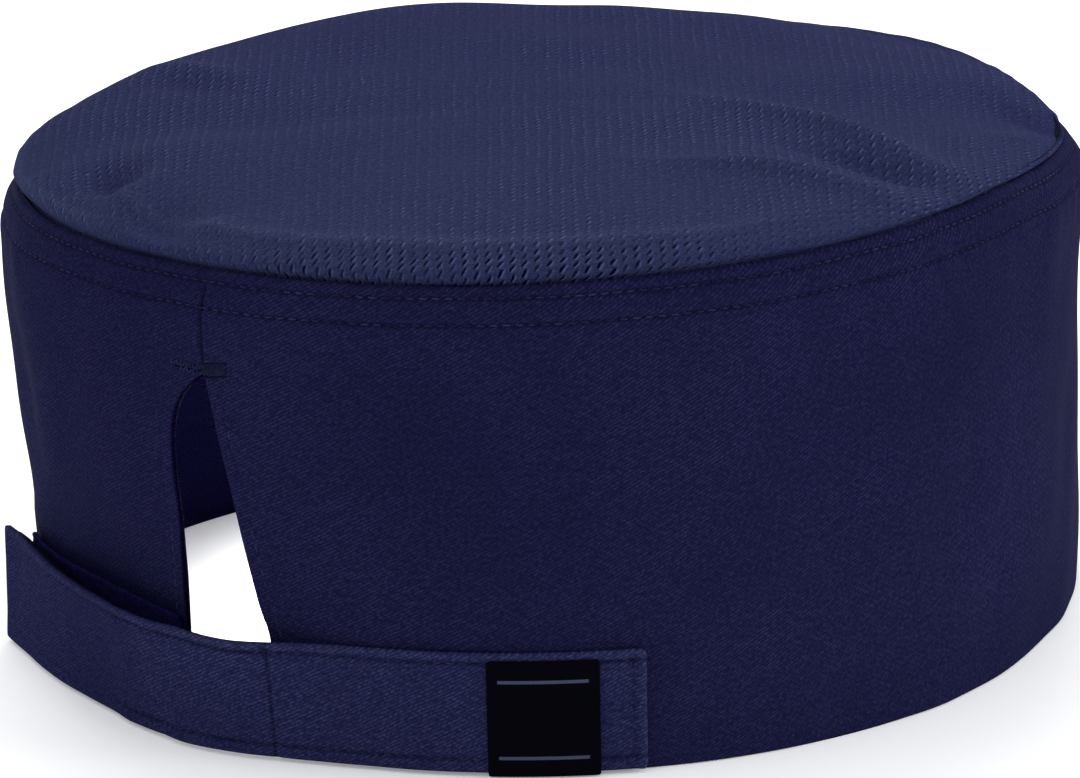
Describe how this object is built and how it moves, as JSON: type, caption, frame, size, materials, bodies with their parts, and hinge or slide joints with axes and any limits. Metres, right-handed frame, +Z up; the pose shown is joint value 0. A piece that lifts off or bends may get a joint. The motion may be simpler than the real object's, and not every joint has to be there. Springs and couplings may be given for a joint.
{
  "type": "chef skull cap",
  "caption": "Round brimless kitchen cap with an upright twill band, a soft vent-mesh crown and a hook-and-loop strap across a back slit.",
  "frame": {"origin": "middle of the cap's bounding box, in the plane of the rim that it stands on", "axes": "+Z up from the rim to the crown, +Y the wearer's front, -Y the back with the adjusting slit, +X the wearer's right"},
  "size_m": [0.1814, 0.2086, 0.0918],
  "materials": {
    "twill": "matt navy twill cloth",
    "vent_mesh": "matt navy open vent mesh",
    "strap_twill": "matt navy twill cloth",
    "tape": "black hook and loop tape",
    "woven_label": "black satin woven label"
  },
  "bodies": {
    "root": {"band": "twill", "crown": "vent_mesh", "loop_tape": "tape", "hook_tape": "tape", "strap": "strap_twill", "label": "woven_label"}
  },
  "joints": []
}
